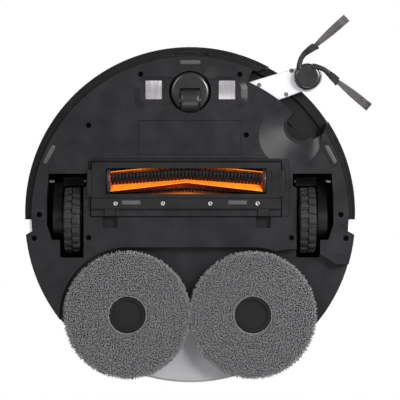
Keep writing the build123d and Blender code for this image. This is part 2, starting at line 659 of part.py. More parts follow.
with BuildPart() as lidar_cap:
    bore(LIDAR, LIDAR_R, ROOF + 10.0, ROOF + 14.0, Mode.ADD)
    fillet(lidar_cap.edges().group_by(Axis.Z)[-1], 1.5)
    for turn in range(5):
        spot = turned((LIDAR[0], LIDAR[1] - LIDAR_R + 3.2), LIDAR, 72 * turn)
        bore(spot, 2.0, ROOF + 3.0, ROOF + 11.0, Mode.ADD)
write(lidar_cap.part, "lidar_cap")

# ---------------------------------------------------------------- sliding bumper
with BuildPart() as bumper_shell:
    prism(crescent(BODY_R, BODY_R - SKIN), 18.5, 81.5)
    prism(grown(arm_room.sketch, 5.0), 0, BAY_TOP + 2.4, Mode.SUBTRACT)
    prism(crescent(BODY_R + 1, BODY_R - 1.2, WINDOW_ANGLE), 42.0, 66.0, Mode.SUBTRACT)
write(bumper_shell.part, "bumper_shell")

with BuildPart() as bumper_window:
    prism(crescent(BODY_R - 0.2, BODY_R - 1.2, WINDOW_ANGLE), 42.0, 66.0)
write(bumper_window.part, "bumper_window")

with BuildPart() as bumper_lip:
    prism(crescent(BODY_R, BODY_R - SKIN), 16.0, 18.5)
    prism(crescent(BODY_R - 1, LIP_IN), 16.8, 18.5)
    prism(grown(arm_room.sketch, 5.0), 0, BAY_TOP + 0.4, Mode.SUBTRACT)
    block((-19.5, 168.6, 0), (19.5, 172.0, 30), Mode.SUBTRACT)
    prism(trimmed(crescent(BODY_R - SKIN, LIP_IN), grown(arm_room.sketch, 9.0)), BAY_TOP + 0.4, BAY_TOP + 2.4)
    prism(trimmed(crescent(BODY_R, LIP_IN), grown(arm_room.sketch, 5.0)), BAY_TOP + 0.4, BAY_TOP + 2.4)
write(bumper_lip.part, "bumper_lip")

# ---------------------------------------------------------------- main brush: housing, drive, cover and roller
with BuildPart() as brush_housing:
    prism(housing_plan, UNDERSIDE, DECK)
    rod((CHAMBER_X[0] - 12.0, BRUSH_Y, BRUSH_Z), CHAMBER_X[1] - CHAMBER_X[0] + 18.0, CHAMBER_R + SKIN)
    block((-24.0, 44.0, 26.0), (32.0, 61.5, SPLIT))
    block((-FAR, -FAR, -FAR), (FAR, FAR, UNDERSIDE), Mode.SUBTRACT)
    rod((CHAMBER_X[0], BRUSH_Y, BRUSH_Z), CHAMBER_X[1] - CHAMBER_X[0], CHAMBER_R, Mode.SUBTRACT)
    block((-22.0, BIN_Y, 28.0), (30.0, 59.5, SPLIT + 1), Mode.SUBTRACT)
    rod((-FAR, BRUSH_Y, BRUSH_Z), 2 * FAR, SHAFT_R + FIT, Mode.SUBTRACT)
    for x, y in latch_notches:
        prism(rectangle(x - 6.0, x + 6.0, HOUSING[2] - 1, COVER[2] + 1), 0, DECK + 1, Mode.SUBTRACT)
write(brush_housing.part, "brush_housing")

with BuildPart() as brush_motor:
    rod((34.0, -15.5, 32.8), 63.0, 11.0)
    block((96.9, -26.5, 19.0), (104.0, 47.0, 43.8))
    fillet(brush_motor.edges().filter_by(Axis.X), 3.0)
    rod((95.0, BRUSH_Y, BRUSH_Z), 8.0, SHAFT_R + FIT, Mode.SUBTRACT)
write(brush_motor.part, "brush_motor")

with BuildPart() as brush_cover:
    prism_x(cover_profile, COVER[0], COVER[1])
    chamfer(brush_cover.faces().sort_by(Axis.Z)[0].edges().filter_by(Axis.Y), 0.8)
    prism(rectangle(*MOUTH, 1.5), 0, UNDERSIDE, Mode.SUBTRACT)
    prism(rectangle(MOUTH[0] - 1, MOUTH[1] + 1, BRUSH_Y - 19.0, BRUSH_Y + 19.0), COVER_LOW + 1.5, UNDERSIDE,
          Mode.SUBTRACT)
    for end in (MOUTH[0] - 3.2, MOUTH[1] + 3.2):
        prism(rectangle(end - 2.6, end + 2.6, MOUTH[2] - 3.0, MOUTH[3] - 2.5, 1.2), 0, COVER_LOW + 0.6,
              Mode.SUBTRACT)
    for x, y in latch_notches:
        prism(rectangle(x - 5.6, x + 5.6, HOUSING[2] + 0.6, COVER[2] + 2), UNDERSIDE - 2.6, UNDERSIDE - 0.2)
        prism(rectangle(x - 5.6, x + 5.6, HOUSING[2] + 0.6, HOUSING[2] + 3), UNDERSIDE - 2.6, DECK + 1.0)
    for spot in COVER_SCREWS:
        bore(spot, 2.7, 0, UNDERSIDE - 2.8)
    for spot in GRIP_PADS:
        x, y = spot
        prism(rectangle(x - 10.1, x + 10.1, y - 2.4, y + 2.4, 1.0), 0, UNDERSIDE - 2.8, Mode.SUBTRACT)
write(brush_cover.part, "brush_cover")

with BuildPart() as brush_cover_screws:
    for spot in COVER_SCREWS:
        bore(spot, 2.5, 7.4, UNDERSIDE - 2.8, Mode.ADD)
write(brush_cover_screws.part, "brush_cover_screws")

with BuildPart() as brush_grip_pads:
    for x, y in GRIP_PADS:
        prism(rectangle(x - 9.9, x + 9.9, y - 2.2, y + 2.2, 1.0), 7.5, UNDERSIDE - 2.8)
write(brush_grip_pads.part, "brush_grip_pads")

with BuildPart() as brush_core:
    rod((BRUSH_X - BRUSH_L / 2, BRUSH_Y, BRUSH_Z), BRUSH_L, CORE_TUBE_R)
    rod((BRUSH_X - BRUSH_L / 2 - 0.2, BRUSH_Y, BRUSH_Z), 3.0, 19.0)
    rod((BRUSH_X + BRUSH_L / 2 - 2.8, BRUSH_Y, BRUSH_Z), 3.0, 19.0)
    rod((CHAMBER_X[0] - 11.0, BRUSH_Y, BRUSH_Z), CHAMBER_X[1] - CHAMBER_X[0] + 24.0, SHAFT_R)
write(brush_core.part, "brush_core")

for name, trail in (("brush_fins", 0.0), ("brush_bristles", ROW_GAP)):
    with BuildPart() as rows:
        for row in range(ROW_PAIRS):
            for side in (1, -1):
                for step in range(STEPS):
                    along = BRUSH_X + side * (0.2 + (step + 0.5) * ROW_STEP)
                    turn = ROW_PHASE + 360 / ROW_PAIRS * row - trail + CHEVRON * (step + 0.5) / STEPS
                    with Locations(Location((along, BRUSH_Y, BRUSH_Z), (turn, 0, 0))):
                        with Locations((0, 0, (CORE_TUBE_R + BRUSH_R) / 2 + 0.05)):
                            Box(ROW_STEP, 2.4, BRUSH_R - CORE_TUBE_R - 0.1)
    write(rows.part, name)

# ---------------------------------------------------------------- drive wheels on their swinging arms
for name, side in (("right", 1), ("left", -1)):
    with BuildPart() as arm:
        prism_x(arm_profile, side * 136.0, side * 145.5)
        block(*ordered((side * 113.5, 31.0, 45.0), (side * 137.0, 40.5, 55.0)))
        rod((side * 123.5, WHEEL_Y, WHEEL_R), side * 13.0, MOTOR_R)
        rod((side * 111.0, PIVOT_Y, PIVOT_Z), side * 36.0, PIN_R + FIT, Mode.SUBTRACT)
        rod((side * 120.0, WHEEL_Y, WHEEL_R), side * 20.0, 4.0 + FIT, Mode.SUBTRACT)
    write(arm.part, f"drive_arm_{name}")
    with BuildPart() as hub:
        rod((side * 116.8, WHEEL_Y, WHEEL_R), side * 16.4, RIM_R)
        rod((side * 122.0, WHEEL_Y, WHEEL_R), side * 20.0, MOTOR_R + 1.2, Mode.SUBTRACT)
        rod((side * 116.0, WHEEL_Y, WHEEL_R), side * 3.0, RIM_R - 3.0, Mode.SUBTRACT)
        rod((side * 117.5, WHEEL_Y, WHEEL_R), side * 4.0, 8.0)
        rod((side * 119.5, WHEEL_Y, WHEEL_R), side * 19.0, 4.0)
        for turn in range(6):
            with Locations(Location((side * 120.0, WHEEL_Y, WHEEL_R), (60 * turn, 0, 0))):
                with Locations(Location((0, 0, 15.5), (0, 90, 0))):
                    Cylinder(4.2, 8.0, mode=Mode.SUBTRACT)
    write(hub.part, f"wheel_hub_{name}")
    with BuildPart() as tyre:
        rod((side * (WHEEL_X - TYRE_W / 2), WHEEL_Y, WHEEL_R), side * TYRE_W, WHEEL_R)
        fillet(tyre.edges(), 2.0)
        rod((side * (WHEEL_X - TYRE_W), WHEEL_Y, WHEEL_R), side * 2 * TYRE_W, RIM_R, Mode.SUBTRACT)
    write(tyre.part, f"tyre_{name}")

# ---------------------------------------------------------------- caster
with BuildPart() as caster_fork:
    bore(CASTER, 21.4, 9.5, 28.0, Mode.ADD)
    fillet(caster_fork.edges().group_by(Axis.Z)[0], 4.5)
    bore(CASTER, STEM_R, 27.0, 40.0, Mode.ADD)
    bore(CASTER, 9.0, 27.0, 32.0, Mode.ADD)
    block((-11.0, CASTER_AXLE_Y - 14.0, 0), (11.0, CASTER_AXLE_Y + 12.6, 25.0), Mode.SUBTRACT)
    rod((-13.0, CASTER_AXLE_Y, CASTER_WHEEL_R), 26.0, 2.0, Mode.SUBTRACT)
write(caster_fork.part, "caster_fork")

with BuildPart() as caster_axle:
    rod((-13.0, CASTER_AXLE_Y, CASTER_WHEEL_R), 26.0, 2.0)
write(caster_axle.part, "caster_axle")

with BuildPart() as caster_wheel:
    rod((-10.4, CASTER_AXLE_Y, CASTER_WHEEL_R), 20.8, CASTER_WHEEL_R)
    fillet(caster_wheel.edges(), 3.0)
    rod((-13.0, CASTER_AXLE_Y, CASTER_WHEEL_R), 26.0, 2.0 + FIT, Mode.SUBTRACT)
write(caster_wheel.part, "caster_wheel")

# ---------------------------------------------------------------- side-brush arm and side brush
with BuildPart() as side_arm:
    prism(arm_plan, ARM_LOW, ARM_TOP)
    fillet(side_arm.edges().group_by(Axis.Z)[0], 2.0)
    bore(HUB, 15.5, ARM_LOW, ARM_TOP, Mode.ADD)
    bore(HUB, 14.4, 0, ARM_LOW + 1.0)
    bore(HUB, 4.0 + FIT, 0, ARM_TOP - 2)
    bore(ARM_PIVOT, ARM_PIN_R + FIT, ARM_LOW + 2.0, 40)
    for spot in ARM_SCREWS:
        bore(spot, 2.4, 0, ARM_LOW + 2.4)
write(side_arm.part, "side_arm")

with BuildPart() as side_arm_screws:
    for spot in ARM_SCREWS:
        bore(spot, 2.3, ARM_LOW + 0.6, ARM_LOW + 2.4, Mode.ADD)
write(side_arm_screws.part, "side_arm_screws")

with BuildPart() as side_brush_hub:
    bore(HUB, 14.0, SIDE_HUB_Z, ARM_LOW + 0.5, Mode.ADD)
    fillet(side_brush_hub.edges().group_by(Axis.Z)[0], 3.5)
    bore(HUB, 4.0, ARM_LOW, ARM_TOP - 3, Mode.ADD)
write(side_brush_hub.part, "side_brush_hub")

with BuildPart() as side_brush_legs:
    for clamp, tip in LEGS:
        start = toward(HUB, clamp, 13.6)
        prism(bar_plan(start, clamp, 4.5, 3.2), 7.0, 11.5)
        prism(bar_plan(clamp, toward(clamp, tip, 7.0), 4.2, 4.6), 4.5, 11.5)
    bore(HUB, 13.9, 0, 14.0)
write(side_brush_legs.part, "side_brush_legs")

with BuildPart() as side_brush_bristles:
    for clamp, tip in LEGS:
        prism(bar_plan(toward(clamp, tip, 14.0), toward(tip, clamp, TIP_HALF), 3.4, TIP_HALF), 1.0, 8.0)
    for clamp, tip in LEGS:
        prism(bar_plan(clamp, toward(clamp, tip, 7.0), 4.3, 4.7), 0, 12.0, Mode.SUBTRACT)
write(side_brush_bristles.part, "side_brush_bristles")

# ---------------------------------------------------------------- mops
with BuildPart() as mop_swing_arm:
    prism(bar_plan(MOP_PIVOT, (-MOP_X, MOP_Y), 11.0, SLEEVE_R), MOP_CEILING + 1.5, MOP_CEILING + 8.5)
    bore(MOP_PIVOT, MOP_PIN_R + FIT, 0, SPLIT)
    bore((-MOP_X, MOP_Y), LIFT_R + FIT, 0, SPLIT)
write(mop_swing_arm.part, "mop_swing_arm")

for name, x in (("right", MOP_X), ("left", -MOP_X)):
    spot = (x, MOP_Y)
    with BuildPart() as lift:
        bore(spot, LIFT_R, 14.0, 33.0, Mode.ADD)
        bore(spot, 5.0 + FIT, 0, 31.0)
        bore(spot, 11.0, 0, 16.0)
    write(lift.part, f"mop_lift_{name}")
    with BuildPart() as disc_part:
        bore(spot, 60.0, 9.0, 13.0, Mode.ADD)
        fillet(disc_part.edges().group_by(Axis.Z)[-1], 1.5)
        bore(spot, 5.0, 12.0, 30.5, Mode.ADD)
        bore(spot, HUB_HOLE_R - 0.2, 3.0, 9.5, Mode.ADD)
        bore(spot, 15.8, 0, 5.0)
    write(disc_part.part, f"mop_disc_{name}")
    with BuildPart() as pad:
        bore(spot, MOP_R, 0, 9.0, Mode.ADD)
        fillet(pad.edges().group_by(Axis.Z)[0], 4.0)
        bore(spot, HUB_HOLE_R, 0, 9.0)
    write(pad.part, f"mop_pad_{name}")
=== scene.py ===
"""Looks of the robot vacuum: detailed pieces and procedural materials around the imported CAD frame."""

import json
import math
import random

import bmesh
import bpy
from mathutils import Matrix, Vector, noise


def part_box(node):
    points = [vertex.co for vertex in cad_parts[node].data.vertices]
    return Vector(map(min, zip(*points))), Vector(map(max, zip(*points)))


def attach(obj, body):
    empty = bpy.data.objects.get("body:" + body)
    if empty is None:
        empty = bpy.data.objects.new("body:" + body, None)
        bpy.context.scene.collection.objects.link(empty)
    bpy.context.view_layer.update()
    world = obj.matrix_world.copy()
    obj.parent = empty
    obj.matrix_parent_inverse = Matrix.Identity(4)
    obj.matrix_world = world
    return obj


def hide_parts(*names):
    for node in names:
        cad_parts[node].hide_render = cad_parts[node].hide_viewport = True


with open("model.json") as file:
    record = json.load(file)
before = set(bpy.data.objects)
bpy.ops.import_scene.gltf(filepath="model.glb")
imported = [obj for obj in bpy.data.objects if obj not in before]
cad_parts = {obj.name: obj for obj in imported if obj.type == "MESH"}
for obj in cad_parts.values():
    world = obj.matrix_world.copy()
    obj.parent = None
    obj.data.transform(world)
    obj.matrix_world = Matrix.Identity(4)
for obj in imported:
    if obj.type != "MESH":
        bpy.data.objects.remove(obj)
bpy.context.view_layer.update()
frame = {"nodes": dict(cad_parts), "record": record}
nodes = frame["nodes"]
random.seed(11)
MM = 0.001
TAU = 2 * math.pi


# ---------------------------------------------------------------- camera, floor and lights
VIEW_WIDTH = 0.4235  # width of the picture at the height of the underside
VIEW_MIDDLE = (-0.0105, 0.0160)
UNDERSIDE = 0.012
DISTANCE = 2.6
SENSOR = 36
camera = bpy.data.objects.new("camera", bpy.data.cameras.new("camera"))
bpy.context.scene.collection.objects.link(camera)
camera.location = (*VIEW_MIDDLE, UNDERSIDE - DISTANCE)
camera.rotation_euler = (0, math.pi, 0)
camera.data.sensor_width = SENSOR
camera.data.lens = SENSOR * DISTANCE / VIEW_WIDTH
camera.data.clip_end = 50
bpy.context.scene.camera = camera
bpy.context.scene.view_settings.view_transform = "Standard"


def linear(r, g, b):
    """A display colour, 0 to 255, as the linear colour that shaders use."""
    shares = [v / 255 for v in (r, g, b)]
    return (*(v / 12.92 if v <= 10 / 255 else ((v + 0.055) / 1.055) ** 2.4 for v in shares), 1)


def area_light(name, place, size, watts, target=(0, 0, 0.02), colour=(1, 1, 1)):
    """A square soft light that faces a point."""
    data = bpy.data.lights.new(name, "AREA")
    data.size = size
    data.energy = watts
    data.color = colour
    lamp = bpy.data.objects.new(name, data)
    bpy.context.scene.collection.objects.link(lamp)
    lamp.location = place
    lamp.rotation_euler = (Vector(target) - Vector(place)).to_track_quat("-Z", "Y").to_euler()
    return lamp


area_light("under_left", (1.1, 0.9, -1.3), 0.9, 14)
area_light("under_right", (-1.3, 0.5, -0.9), 0.7, 18)
area_light("under_front", (0.0, -1.2, -1.6), 1.0, 9)
area_light("under_sheen", (-1.35, 0.85, -2.2), 0.7, 52, target=(-0.08, 0.08, 0.012))
area_light("above_key", (-0.9, 0.9, 1.7), 1.0, 26)
area_light("above_fill", (1.2, -0.8, 1.3), 1.2, 13)


CAST = 0.42  # strength of the light that the surround casts, where it shows as 1


def white_world():
    """A plain white surround that lights the object more weakly than it shows."""
    world = bpy.data.worlds.new("surround")
    bpy.context.scene.world = world
    world.use_nodes = True
    tree = world.node_tree
    tree.nodes.clear()
    out = tree.nodes.new("ShaderNodeOutputWorld")
    mix = tree.nodes.new("ShaderNodeMixShader")
    seen = tree.nodes.new("ShaderNodeBackground")
    cast = tree.nodes.new("ShaderNodeBackground")
    path = tree.nodes.new("ShaderNodeLightPath")
    seen.inputs["Color"].default_value = (1, 1, 1, 1)
    cast.inputs["Color"].default_value = (1, 1, 1, 1)
    cast.inputs["Strength"].default_value = CAST
    tree.links.new(path.outputs["Is Camera Ray"], mix.inputs[0])
    tree.links.new(cast.outputs[0], mix.inputs[1])
    tree.links.new(seen.outputs[0], mix.inputs[2])
    tree.links.new(mix.outputs[0], out.inputs[0])


FLOOR_SIZE = 6
FLOOR_DROP = 0.0012  # how far the floor is below the robot's lowest point


def one_sided_floor():
    """A pale floor under the robot that shows only from above, so the underside stays in view."""
    bpy.ops.mesh.primitive_plane_add(size=FLOOR_SIZE, location=(0, 0, -FLOOR_DROP))
    floor = bpy.context.object
    floor.name = "floor"
    paint = bpy.data.materials.new("floor")
    paint.use_nodes = True
    tree = paint.node_tree
    shader = tree.nodes["Principled BSDF"]
    shader.inputs["Base Color"].default_value = (0.82, 0.82, 0.82, 1)
    shader.inputs["Roughness"].default_value = 0.7
    clear = tree.nodes.new("ShaderNodeBsdfTransparent")
    mix = tree.nodes.new("ShaderNodeMixShader")
    side = tree.nodes.new("ShaderNodeNewGeometry")
    tree.links.new(side.outputs["Backfacing"], mix.inputs[0])
    tree.links.new(shader.outputs[0], mix.inputs[1])
    tree.links.new(clear.outputs[0], mix.inputs[2])
    tree.links.new(mix.outputs[0], tree.nodes["Material Output"].inputs[0])
    floor.data.materials.append(paint)
    floor.visible_shadow = False
    floor.visible_diffuse = False
    floor.visible_glossy = False


white_world()
one_sided_floor()


# ---------------------------------------------------------------- materials
class Paint:
    """A node material being built around one Principled shader."""

    def __init__(self, name, colour, rough, **inputs):
        self.made = bpy.data.materials.new(name)
        self.made.use_nodes = True
        self.tree = self.made.node_tree
        self.shader = self.tree.nodes["Principled BSDF"]
        self.shader.inputs["Base Color"].default_value = linear(*colour)
        self.shader.inputs["Roughness"].default_value = rough
        for key, value in inputs.items():
            self.shader.inputs[key.replace("_", " ")].default_value = value
        self.coords = self.tree.nodes.new("ShaderNodeTexCoord").outputs["Object"]
        self.height = None

    def node(self, kind, **settings):
        """A shader node with its settings and its inputs' values."""
        made = self.tree.nodes.new("ShaderNode" + kind)
        for key, value in settings.items():
            if hasattr(made, key):
                setattr(made, key, value)
            else:
                made.inputs[key.replace("_", " ")].default_value = value
        return made

    def link(self, output, target):
        self.tree.links.new(output, target)

    def squeezed(self, scale):
        """Object coordinates scaled differently along X, Y and Z, for streaks."""
        mapping = self.node("Mapping")
        mapping.inputs["Scale"].default_value = scale
        self.link(self.coords, mapping.inputs["Vector"])
        return mapping.outputs["Vector"]

    def noise(self, scale, detail=2.0, rough=0.5, coords=None, distortion=0.0):
        """Cloudy noise, 0 to 1; scale is in cells to the metre."""
        made = self.node("TexNoise", Scale=scale, Detail=detail, Roughness=rough, Distortion=distortion)
        self.link(coords or self.coords, made.inputs["Vector"])
        return made.outputs["Fac"]

    def ramp(self, value, low, high, start=0.0, stop=1.0):
        """A number mapped from one range to another, held at the ends."""
        made = self.node("MapRange")
        for key, number in zip(("From Min", "From Max", "To Min", "To Max"), (start, stop, low, high)):
            made.inputs[key].default_value = number
        self.link(value, made.inputs["Value"])
        return made.outputs["Result"]

    def colours(self, value, first, second, start=0.35, stop=0.65):
        """The base colour mixed between two by a number."""
        made = self.node("ValToRGB")
        made.color_ramp.elements[0].position = start
        made.color_ramp.elements[1].position = stop
        made.color_ramp.elements[0].color = linear(*first)
        made.color_ramp.elements[1].color = linear(*second)
        self.link(value, made.inputs["Fac"])
        self.link(made.outputs["Color"], self.shader.inputs["Base Color"])

    def rough(self, value, low, high):
        """Roughness that follows a number between two limits."""
        self.link(self.ramp(value, low, high, 0.3, 0.7), self.shader.inputs["Roughness"])

    def bump(self, value, strength, depth):
        """A layer of bump on top of the layers before it; depth is in metres."""
        made = self.node("Bump", Strength=strength, Distance=depth)
        self.link(value, made.inputs["Height"])
        if self.height is not None:
            self.link(self.height, made.inputs["Normal"])
        self.height = made.outputs["Normal"]
        self.link(self.height, self.shader.inputs["Normal"])


def moulded(name, colour, rough, spread=3, grain=2600, strength=0.25, **inputs):
    """Spark-textured or polished moulded plastic with a faint flow mottle."""
    paint = Paint(name, colour, rough, **inputs)
    mottle = paint.noise(28, 3.0)
    light = tuple(min(255, v + spread) for v in colour)
    dark = tuple(max(0, v - spread) for v in colour)
    paint.colours(mottle, dark, light)
    paint.rough(paint.noise(55, 4.0), rough - 0.05, rough + 0.05)
    paint.bump(paint.noise(9, 1.0), 0.12, 0.0006)
    if grain:
        paint.bump(paint.noise(grain, 2.0, 0.6), strength, 0.00003)
    return paint.made


def streaked_metal(name, colour, rough, along=(1, 1, 1), anisotropic=0.5):
    """Brushed metal: fine scratches across the axis with the large scale."""
    paint = Paint(name, colour, rough, Metallic=1.0, Anisotropic=anisotropic)
    streaks = paint.noise(1.0, 5.0, 0.7, paint.squeezed(along))
    paint.rough(streaks, rough - 0.08, rough + 0.12)
    paint.bump(streaks, 0.3, 0.00002)
    return paint.made


def rubber(name, colour, rough, spread=5, **inputs):
    """Dull rubber with a powdery bloom and fine pores."""
    paint = Paint(name, colour, rough, **inputs)
    paint.colours(paint.noise(160, 5.0, 0.65), tuple(max(0, v - spread) for v in colour),
                  tuple(min(255, v + spread) for v in colour))
    paint.rough(paint.noise(320, 3.0), rough - 0.08, rough + 0.08)
    paint.bump(paint.noise(1800, 3.0), 0.3, 0.00005)
    return paint.made


def pile(name, colour, gap_shade):
    """Looped microfibre: painted shade darkens the colour between the loops, leaving their tops paler."""
    paint = Paint(name, colour, 0.95, Sheen_Weight=0.35, Sheen_Roughness=0.5, Specular_IOR_Level=0.15)
    loops = paint.noise(620, 3.0, 0.6, distortion=0.8)
    # painted shade: the colour darkens in step with the bump where the loops part
    paint.colours(loops, gap_shade, colour, 0.32, 0.66)
    paint.bump(loops, 0.8, 0.0009)
    paint.bump(paint.noise(3500, 2.0), 0.4, 0.0001)
    return paint.made


DARK = moulded("dark_shell", (26, 24, 27), 0.31, Specular_IOR_Level=0.32)
DARK_FINE = moulded("dark_cover", (24, 23, 25), 0.38, grain=3400, strength=0.18, Specular_IOR_Level=0.24)
INNER = moulded("black_inner", (13, 13, 14), 0.5, Specular_IOR_Level=0.2)
WHITE = moulded("white_shell", (236, 236, 238), 0.28, spread=2, grain=0, Coat_Weight=0.3, Coat_Roughness=0.12)
ARM_WHITE = moulded("white_arm", (208, 206, 210), 0.4, spread=2, grain=1900, strength=0.15)
# white plastic of the rear panel, given a grey base colour as painted shade for the recess it sits in
SHADED_WHITE_PANEL = moulded("grey_panel", (158, 158, 161), 0.45, spread=3)
GLOSS = moulded("dark_gloss", (24, 23, 24), 0.3, grain=0, Coat_Weight=0.3, Coat_Roughness=0.16)
LENS = moulded("smoked_window", (14, 13, 14), 0.12, grain=0, Coat_Weight=0.6, Coat_Roughness=0.05)
GREY = moulded("grey_plastic", (84, 84, 87), 0.45)
CASTER_BLACK = moulded("caster_black", (24, 24, 25), 0.34)
ORANGE = moulded("orange_plastic", (216, 66, 8), 0.4, spread=6, grain=0, Subsurface_Weight=0.05)
FIN = rubber("orange_rubber", (255, 128, 20), 0.36, spread=6, Subsurface_Weight=0.1)
BRISTLE = moulded("black_bristle", (10, 9, 9), 0.5, grain=0, Specular_IOR_Level=0.2)
BRUSH_FIBRE = moulded("grey_bristle", (86, 82, 85), 0.42, grain=0)
TYRE = rubber("tyre_rubber", (30, 30, 31), 0.6, Specular_IOR_Level=0.35)
LIP = moulded("lip_black", (13, 13, 14), 0.4, Specular_IOR_Level=0.2)
LEG = rubber("leg_rubber", (22, 21, 22), 0.42, spread=3, Specular_IOR_Level=0.35)
STEEL = streaked_metal("screw_steel", (158, 158, 161), 0.42, (900, 900, 60))
CONTACT = streaked_metal("contact_plate", (196, 192, 196), 0.34, (1400, 60, 60))
# near-black with little sheen: painted shadow for the joints round the covers and inside the housing screw holes
SHADOW_BLACK = moulded("painted_shadow_black", (4, 4, 5), 0.7, spread=1, grain=0, Specular_IOR_Level=0.05)
PALE_LENS = moulded("pale_lens", (66, 64, 67), 0.4, spread=6, grain=0, Specular_IOR_Level=0.3)
BOARD = moulded("circuit_board", (18, 74, 44), 0.35)
FABRIC = pile("mop_pile", (134, 134, 136), (92, 92, 94))
# the backing's dark colour is painted shade for the gaps between the loops of pile
FABRIC_SHADE_BASE = pile("mop_backing_shade", (38, 38, 40), (22, 22, 24))


def smoked_glass():
    """Clear smoked plastic with faint handling marks."""
    paint = Paint("smoked_bin", (60, 60, 64), 0.12, Transmission_Weight=0.7, IOR=1.5)
    paint.rough(paint.noise(40, 3.0), 0.08, 0.2)
    return paint.made


BIN = smoked_glass()
# one material for each slot of the record, then the nodes that look unlike the rest of their slot
slots = {
    "dark_shell": DARK, "black_inner": INNER, "white_shell": WHITE, "grey_panel": SHADED_WHITE_PANEL,
    "dark_gloss": GLOSS, "orange_rubber": FIN, "orange_plastic": ORANGE, "black_bristle": BRISTLE,
    "tyre_rubber": TYRE,
    "grey_plastic": GREY, "steel": STEEL, "contact_metal": CONTACT, "mop_fabric": FABRIC, "smoked_bin": BIN,
    "board": BOARD,
}
special = {
    "side_arm": ARM_WHITE, "cliff_windows": LENS, "bumper_window": LENS, "caster_wheel": CASTER_BLACK,
    "brush_cover": DARK_FINE, "side_brush_legs": LEG, "side_brush_bristles": BRUSH_FIBRE, "lidar_rotor": LENS,
    # the housing screws take the near-black paint as painted shade in their holes
    "housing_screws": SHADOW_BLACK, "bumper_lip": LIP,
}
record_slots = {row["node"]: row["material_slot"] for row in frame["record"]["subparts"]}
for name, thing in nodes.items():
    thing.data.materials.clear()
    thing.data.materials.append(special.get(name, slots[record_slots[name]]))


# ---------------------------------------------------------------- mesh helpers, all in millimetres
UP = Vector((0, 0, 1))


class Shape:
    """A mesh put together from rings of points."""

    def __init__(self):
        self.points = []
        self.faces = []

    def skin(self, rings, closed=False, capped=True):
        """Faces between successive rings of one length; closed joins the last ring to the first."""
        first, size, count = len(self.points), len(rings[0]), len(rings)
        for ring in rings:
            self.points.extend(ring)
        for row in range(count if closed else count - 1):
            here = first + row * size
            there = first + (row + 1) % count * size
            for spot in range(size):
                after = (spot + 1) % size
                self.faces.append((here + spot, here + after, there + after, there + spot))
        if capped and not closed:
            self.faces.append(tuple(range(first, first + size))[::-1])
            self.faces.append(tuple(range(first + (count - 1) * size, first + count * size)))

    def tube(self, path, wide, high=None, sides=4, up=UP):
        """A rod with round or oval sections along a path; wide and high are radii, one for each point."""
        rings = []
        high = high or wide
        for index, spot in enumerate(path):
            ahead = path[min(index + 1, len(path) - 1)] - path[max(index - 1, 0)]
            side = ahead.cross(up)
            if side.length < 1e-6:
                side = ahead.cross(Vector((1, 0, 0)))
            side.normalize()
            over = side.cross(ahead).normalized()
            rings.append([spot + side * (wide[index] * math.cos(TAU * (k + 0.5) / sides))
                          + over * (high[index] * math.sin(TAU * (k + 0.5) / sides)) for k in range(sides)])
        self.skin(rings)

    def made(self, name, paint, body, slot, stands_for=(), smooth=True):
        """The finished piece, riding on its body."""
        mesh = bpy.data.meshes.new(name)
        mesh.from_pydata([tuple(p * MM) for p in self.points], [], self.faces)
        work = bmesh.new()
        work.from_mesh(mesh)
        bmesh.ops.recalc_face_normals(work, faces=work.faces)
        work.to_mesh(mesh)
        work.free()
        mesh.materials.append(paint)
        if smooth:
            mesh.shade_smooth()
        piece = bpy.data.objects.new(name, mesh)
        bpy.context.scene.collection.objects.link(piece)
        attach(piece, body)
        if stands_for:
            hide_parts(*stands_for)
        return piece


def box_mm(node):
    """The lowest and highest corner of a CAD node, in millimetres."""
    return tuple(Vector(corner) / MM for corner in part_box(node))


def middle(node):
    """The middle of a CAD node's box."""
    low, high = box_mm(node)
    return (low + high) / 2


def around(centre, radius, turn, height):
    """A point on a level circle; height is absolute."""
    return Vector((centre.x + radius * math.cos(turn), centre.y + radius * math.sin(turn), height))


def jitter(reach):
    """A random number up to reach, either way."""
    return random.uniform(-reach, reach)


# ---------------------------------------------------------------- mop cloths
MOP_HOLE = 18.8  # radius
CLOTH_STEPS = 400  # steps round a cloth
CLOTH_INSET = 3.4  # how far the cloth's edge is inside the tips of the pile
EDGE_ROLL = 3.6  # radius of the cloth's rolled edges
PILE_REACH = 2.6  # how far the pile stands out past the mop's solid


def cloth_profile(inner, outer, low, high):
    """The closed section of a mop cloth as (radius, height) points: flat below, rolled at both edges."""
    points = []
    rows = int((outer - inner - 2 * EDGE_ROLL) / 1.1)
    for row in range(rows + 1):
        points.append((inner + EDGE_ROLL + (outer - inner - 2 * EDGE_ROLL) * row / rows, low))
    half = (high - low) / 2
    for step in range(1, 8):
        turn = math.pi * step / 8
        points.append((outer - EDGE_ROLL + EDGE_ROLL * math.sin(turn), low + half - half * math.cos(turn)))
    for step in range(5):
        points.append((outer - EDGE_ROLL - (outer - inner - 2 * EDGE_ROLL) * step / 4, high))
    for step in range(1, 8):
        turn = math.pi * step / 8
        points.append((inner + EDGE_ROLL - EDGE_ROLL * math.sin(turn), low + half + half * math.cos(turn)))
    return points


def mop_cloth(side):
    """The backing of one mop: a padded ring whose underside is lumpy with pile."""
    low, high = box_mm("mop_pad_" + side)
    centre = middle("mop_pad_" + side)
    outer = (high.x - low.x) / 2
    shape = Shape()
    profile = cloth_profile(MOP_HOLE + 0.5, outer + PILE_REACH - CLOTH_INSET, low.z + 1.8, high.z - 0.1)
    rings = []
    for step in range(CLOTH_STEPS):
        ring = []
        for radius, height in profile:
            spot = around(centre, radius, TAU * step / CLOTH_STEPS, height)
            if height < high.z - 1:
                lump = noise.noise(spot * 0.55) * 0.5
                spot = around(centre, radius + lump * 0.6, TAU * step / CLOTH_STEPS, height + lump)
            ring.append(spot)
        rings.append(ring)
    shape.skin(rings, closed=True)
    piece = shape.made("mop_cloth_" + side, FABRIC_SHADE_BASE, "mop_" + side, "mop_fabric", ["mop_pad_" + side])
    return piece


LOOP_PITCH = 1.7
LOOP_YARN = 0.5  # radius of the yarn
OUTER_FRINGE = 620  # strands in the fringe at the outer edge, and in the one round the hub
INNER_FRINGE = 220


